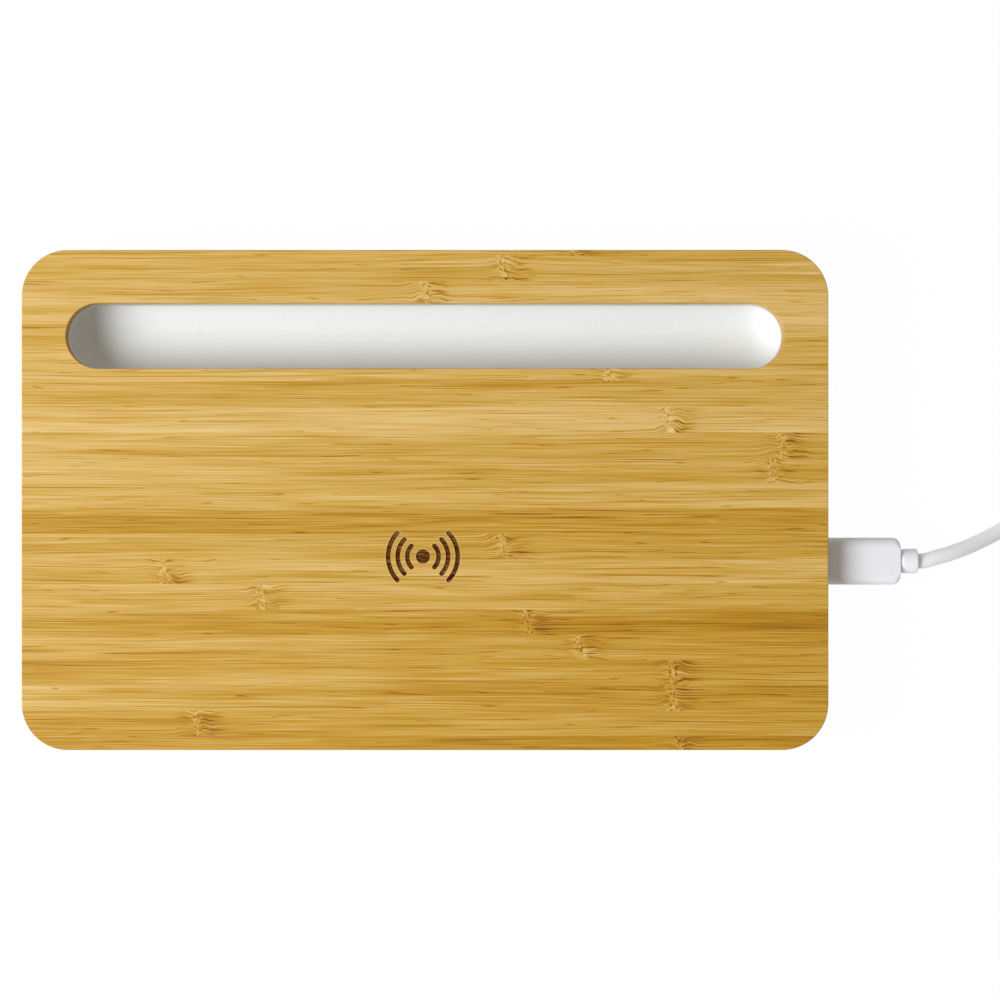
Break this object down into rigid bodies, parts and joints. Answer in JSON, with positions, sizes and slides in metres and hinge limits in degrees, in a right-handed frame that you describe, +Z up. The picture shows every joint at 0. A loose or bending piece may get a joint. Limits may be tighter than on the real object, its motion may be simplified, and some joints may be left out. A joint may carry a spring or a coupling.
{
  "type": "wireless charging station",
  "caption": "Flat desk charging pad with a bamboo top, a round-ended pen slot over a white scooped trough, a hidden coil and board, and a detachable USB cable.",
  "frame": {"origin": "on the desk, under the middle of the station, the cable left out", "axes": "+X along the long side, towards the cable; +Y towards the pen slot; +Z up"},
  "size_m": [0.328, 0.153, 0.0184],
  "materials": {
    "bamboo": "oiled, sanded",
    "white_abs": "fine moulded",
    "grey_rubber": "matt",
    "adhesive_film": "film",
    "zinc_plated_steel": "plated",
    "green_board": "solder mask",
    "black_epoxy": "moulded",
    "capacitor_ceramic": "fired",
    "black_ferrite": "sintered",
    "enamelled_copper": "enamelled wire",
    "nickel_plated_steel": "plated",
    "white_pvc": "soft moulded",
    "black_nylon": "moulded",
    "white_strap": "woven"
  },
  "bodies": {
    "station": {"bamboo_top_plate": "bamboo", "top_adhesive_sheet": "adhesive_film", "upper_housing": "white_abs", "base_cover": "white_abs", "rubber_foot_1": "grey_rubber", "rubber_foot_2": "grey_rubber", "rubber_foot_3": "grey_rubber", "rubber_foot_4": "grey_rubber", "cover_screw_1": "zinc_plated_steel", "cover_screw_2": "zinc_plated_steel", "cover_screw_3": "zinc_plated_steel", "cover_screw_4": "zinc_plated_steel", "cover_screw_5": "zinc_plated_steel", "cover_screw_6": "zinc_plated_steel", "control_board": "green_board", "board_screw_1": "zinc_plated_steel", "board_screw_2": "zinc_plated_steel", "board_screw_3": "zinc_plated_steel", "board_screw_4": "zinc_plated_steel", "charging_controller_chip": "black_epoxy", "power_bridge_chip_1": "black_epoxy", "power_bridge_chip_2": "black_epoxy", "resonance_capacitor_1": "capacitor_ceramic", "resonance_capacitor_2": "capacitor_ceramic", "resonance_capacitor_3": "capacitor_ceramic", "resonance_capacitor_4": "capacitor_ceramic", "input_capacitor_1": "capacitor_ceramic", "input_capacitor_2": "capacitor_ceramic", "input_inductor": "black_ferrite", "coil_adhesive_pad": "adhesive_film", "ferrite_sheet": "black_ferrite", "transmitter_coil": "enamelled_copper", "usb_socket_shell": "nickel_plated_steel", "usb_socket_tongue": "black_nylon"},
    "charging_cable": {"usb_c_plug_shell": "nickel_plated_steel", "usb_c_plug_insert": "black_nylon", "usb_c_plug_overmold": "white_pvc", "usb_c_strain_relief": "white_pvc", "cable_run": "white_pvc", "cable_coil": "white_pvc", "cable_tie": "white_strap", "cable_tail": "white_pvc", "usb_a_strain_relief": "white_pvc", "usb_a_plug_overmold": "white_pvc", "usb_a_shell": "nickel_plated_steel", "usb_a_tongue": "black_nylon", "usb_a_contact_1": "nickel_plated_steel", "usb_a_contact_2": "nickel_plated_steel", "usb_a_contact_3": "nickel_plated_steel", "usb_a_contact_4": "nickel_plated_steel"}
  },
  "joints": [
    {"name": "plug_pull", "type": "slide", "parent": "station", "child": "charging_cable", "axis": [1, 0, 0], "range_m": [0, 0.01]}
  ]
}
